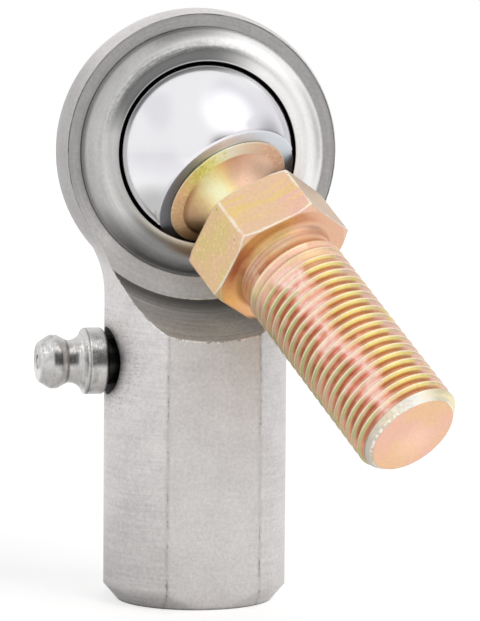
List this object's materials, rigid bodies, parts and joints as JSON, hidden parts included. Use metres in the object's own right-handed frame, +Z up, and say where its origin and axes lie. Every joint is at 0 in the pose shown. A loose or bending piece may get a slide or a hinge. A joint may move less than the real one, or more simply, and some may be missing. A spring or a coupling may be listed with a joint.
{
  "type": "rod end",
  "caption": "Rod end with a female-threaded shank, a swaged race holding a polished ball, a leaning threaded stud with a hexagon, and a grease fitting in the side.",
  "frame": {"origin": "centre of the rod thread's mouth, in the plane of the shank's base", "axes": "+Z up the shank to the ball, +Y along the axis of the race and away from the stud, the grease fitting on the -X side"},
  "size_m": [0.0415, 0.0514, 0.0718],
  "materials": {
    "body_steel": "satin plated",
    "race_steel": "burnished by swaging",
    "ball_chrome": "polished",
    "stud_zinc": "yellow zinc plated steel",
    "fitting_steel": "plated",
    "valve_steel": "bright"
  },
  "bodies": {
    "shank": {"body": "body_steel", "grease_fitting": "fitting_steel", "check_spring": "valve_steel"},
    "race": {"race": "race_steel"},
    "ball": {"ball": "ball_chrome"},
    "stud": {"stud": "stud_zinc"},
    "check_ball": {"check_ball": "valve_steel"}
  },
  "joints": [
    {"name": "stud_swing", "type": "hinge", "parent": "shank", "child": "race", "pos_m": [0, 0, 0.0546], "axis": [0, 1, 0], "continuous": true},
    {"name": "stud_lean", "type": "hinge", "parent": "race", "child": "ball", "pos_m": [0, 0, 0.0546], "axis": [0.8829, 0, 0.4695], "range_deg": [-88, 0]},
    {"name": "stud_spin", "type": "hinge", "parent": "ball", "child": "stud", "pos_m": [0, 0, 0.0546], "axis": [0.3261, -0.7193, -0.6133], "continuous": true},
    {"name": "check_valve", "type": "slide", "parent": "shank", "child": "check_ball", "axis": [1, 0, 0], "range_m": [0, 0.0008], "stiffness_N_per_m": 300, "springref_m": -0.001, "deforming": ["check_spring"]}
  ]
}
